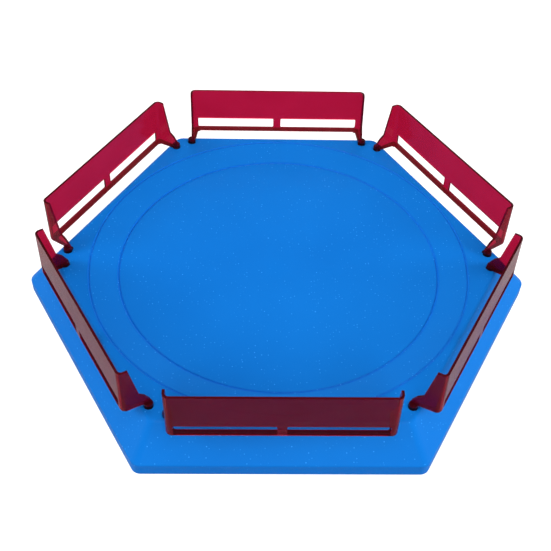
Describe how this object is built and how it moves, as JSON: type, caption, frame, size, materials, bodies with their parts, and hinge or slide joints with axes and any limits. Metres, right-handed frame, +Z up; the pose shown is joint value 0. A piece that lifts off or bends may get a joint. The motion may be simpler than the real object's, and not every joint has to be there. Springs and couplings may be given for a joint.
{
  "type": "spinning top arena",
  "caption": "Hexagonal arena for spinning tops: a shallow round bowl in a sloping base, with clip-in translucent guard rails along its sides.",
  "frame": {"origin": "centre of the hexagonal footprint, on the surface the arena stands on", "axes": "+Z up; +X to the right, through two corners of the hexagon; +Y away from the viewer, square to the back side"},
  "size_m": [0.3778, 0.329, 0.0741],
  "materials": {
    "base_plastic": "opaque blue moulded plastic with fine glitter flecks, satin-gloss",
    "rail_plastic": "translucent red moulded plastic, glossy"
  },
  "bodies": {
    "base": {"arena_base": "base_plastic"},
    "rail_back": {"guard_rail_back": "rail_plastic"},
    "rail_back_left": {"guard_rail_back_left": "rail_plastic"},
    "rail_front_left": {"guard_rail_front_left": "rail_plastic"},
    "rail_front": {"guard_rail_front": "rail_plastic"},
    "rail_front_right": {"guard_rail_front_right": "rail_plastic"},
    "rail_back_right": {"guard_rail_back_right": "rail_plastic"}
  },
  "joints": [
    {"name": "rail_back_lift", "type": "slide", "parent": "base", "child": "rail_back", "axis": [0, 0, 1], "range_m": [0, 0.04]},
    {"name": "rail_back_left_lift", "type": "slide", "parent": "base", "child": "rail_back_left", "axis": [0, 0, 1], "range_m": [0, 0.04]},
    {"name": "rail_front_left_lift", "type": "slide", "parent": "base", "child": "rail_front_left", "axis": [0, 0, 1], "range_m": [0, 0.04]},
    {"name": "rail_front_lift", "type": "slide", "parent": "base", "child": "rail_front", "axis": [0, 0, 1], "range_m": [0, 0.04]},
    {"name": "rail_front_right_lift", "type": "slide", "parent": "base", "child": "rail_front_right", "axis": [0, 0, 1], "range_m": [0, 0.04]},
    {"name": "rail_back_right_lift", "type": "slide", "parent": "base", "child": "rail_back_right", "axis": [0, 0, 1], "range_m": [0, 0.04]}
  ]
}
